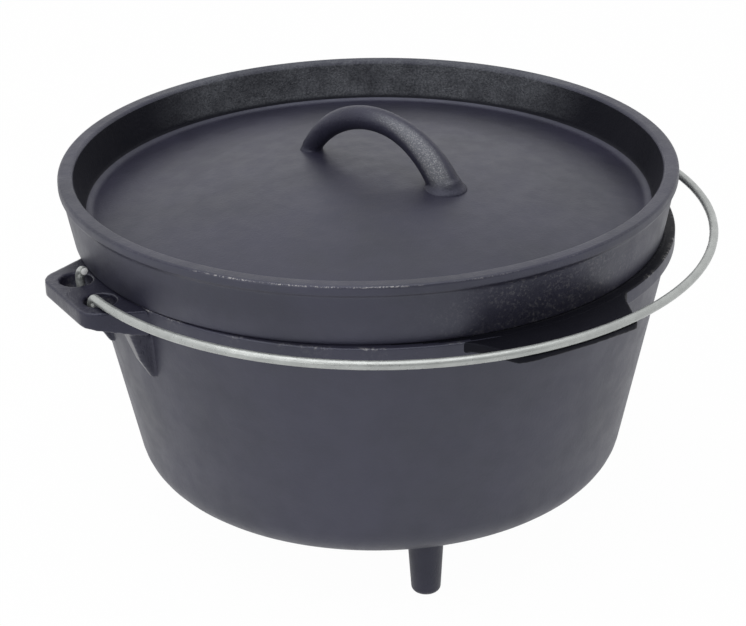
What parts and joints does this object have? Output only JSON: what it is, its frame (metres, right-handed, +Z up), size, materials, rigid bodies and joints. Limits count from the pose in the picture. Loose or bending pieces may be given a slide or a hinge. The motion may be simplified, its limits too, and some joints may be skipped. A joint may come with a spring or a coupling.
{
  "type": "camp dutch oven",
  "caption": "Round cast-iron camp oven on short legs, with a flanged coal-tray lid, a loop handle on the lid and a swinging wire bail.",
  "frame": {"origin": "on the pot's axis, at the floor that the legs stand on", "axes": "+Z up along the pot's axis; X through the two ears, which is the bail's hinge line; the bail rests towards -Y"},
  "size_m": [0.353, 0.3402, 0.2225],
  "materials": {
    "iron": "satin seasoned",
    "wire": "galvanised"
  },
  "bodies": {
    "pot": {"pot": "iron", "ear_left": "iron", "ear_right": "iron", "bail_rest": "iron", "leg_front": "iron", "leg_right": "iron", "leg_back": "iron"},
    "lid": {"lid": "iron", "lid_rim": "iron", "lid_loop": "iron"},
    "bail": {"bail": "wire", "arm_left": "wire", "arm_right": "wire", "hook_left": "wire", "hook_right": "wire"}
  },
  "joints": [
    {"name": "lid_lift", "type": "slide", "parent": "pot", "child": "lid", "axis": [0, 0, 1], "range_m": [0, 0.2]},
    {"name": "bail_swing", "type": "hinge", "parent": "pot", "child": "bail", "pos_m": [0, 0, 0.15791], "axis": [-1, 0, 0], "range_deg": [0, 135]}
  ]
}
